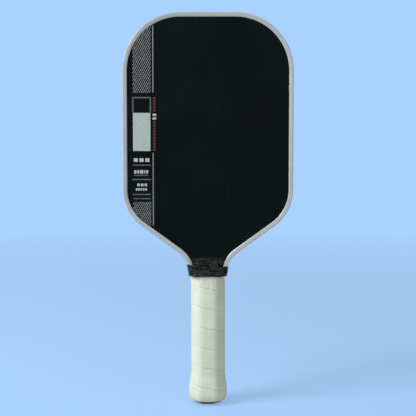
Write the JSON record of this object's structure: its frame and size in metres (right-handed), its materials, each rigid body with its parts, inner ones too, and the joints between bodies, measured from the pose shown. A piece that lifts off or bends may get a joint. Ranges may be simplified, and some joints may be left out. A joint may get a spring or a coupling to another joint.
{
  "type": "pickleball paddle",
  "caption": "Pickleball paddle with honeycomb core, black carbon faces, pale channel edge guard and an octagonal handle wound with white grip tape",
  "frame": {"origin": "middle of the flat butt end of the handle", "axes": "+Z runs from the butt end up the handle to the head tip; -Y is the outward normal of the printed front face; +X runs to the right when the front face is looked at with the head up"},
  "size_m": [0.181, 0.0326, 0.419],
  "materials": {
    "core_polymer": "extruded polypropylene honeycomb",
    "edge_foam": "injected foam",
    "carbon_skin": "raw carbon laminate with peel-ply texture",
    "guard_plastic": "satin extruded plastic",
    "handle_foam": "rigid moulded foam",
    "cap_plastic": "moulded plastic",
    "grip_tape": "cushioned synthetic leather, smooth with fine creases",
    "black_tape": "stretched vinyl tape, crinkled"
  },
  "bodies": {
    "root": {"honeycomb_core": "core_polymer", "edge_foam": "edge_foam", "front_face": "carbon_skin", "back_face": "carbon_skin", "edge_guard": "guard_plastic", "front_handle_shell": "handle_foam", "back_handle_shell": "handle_foam", "butt_cap": "cap_plastic", "grip_tape": "grip_tape", "throat_wrap": "black_tape", "neck_band": "black_tape"}
  },
  "joints": []
}
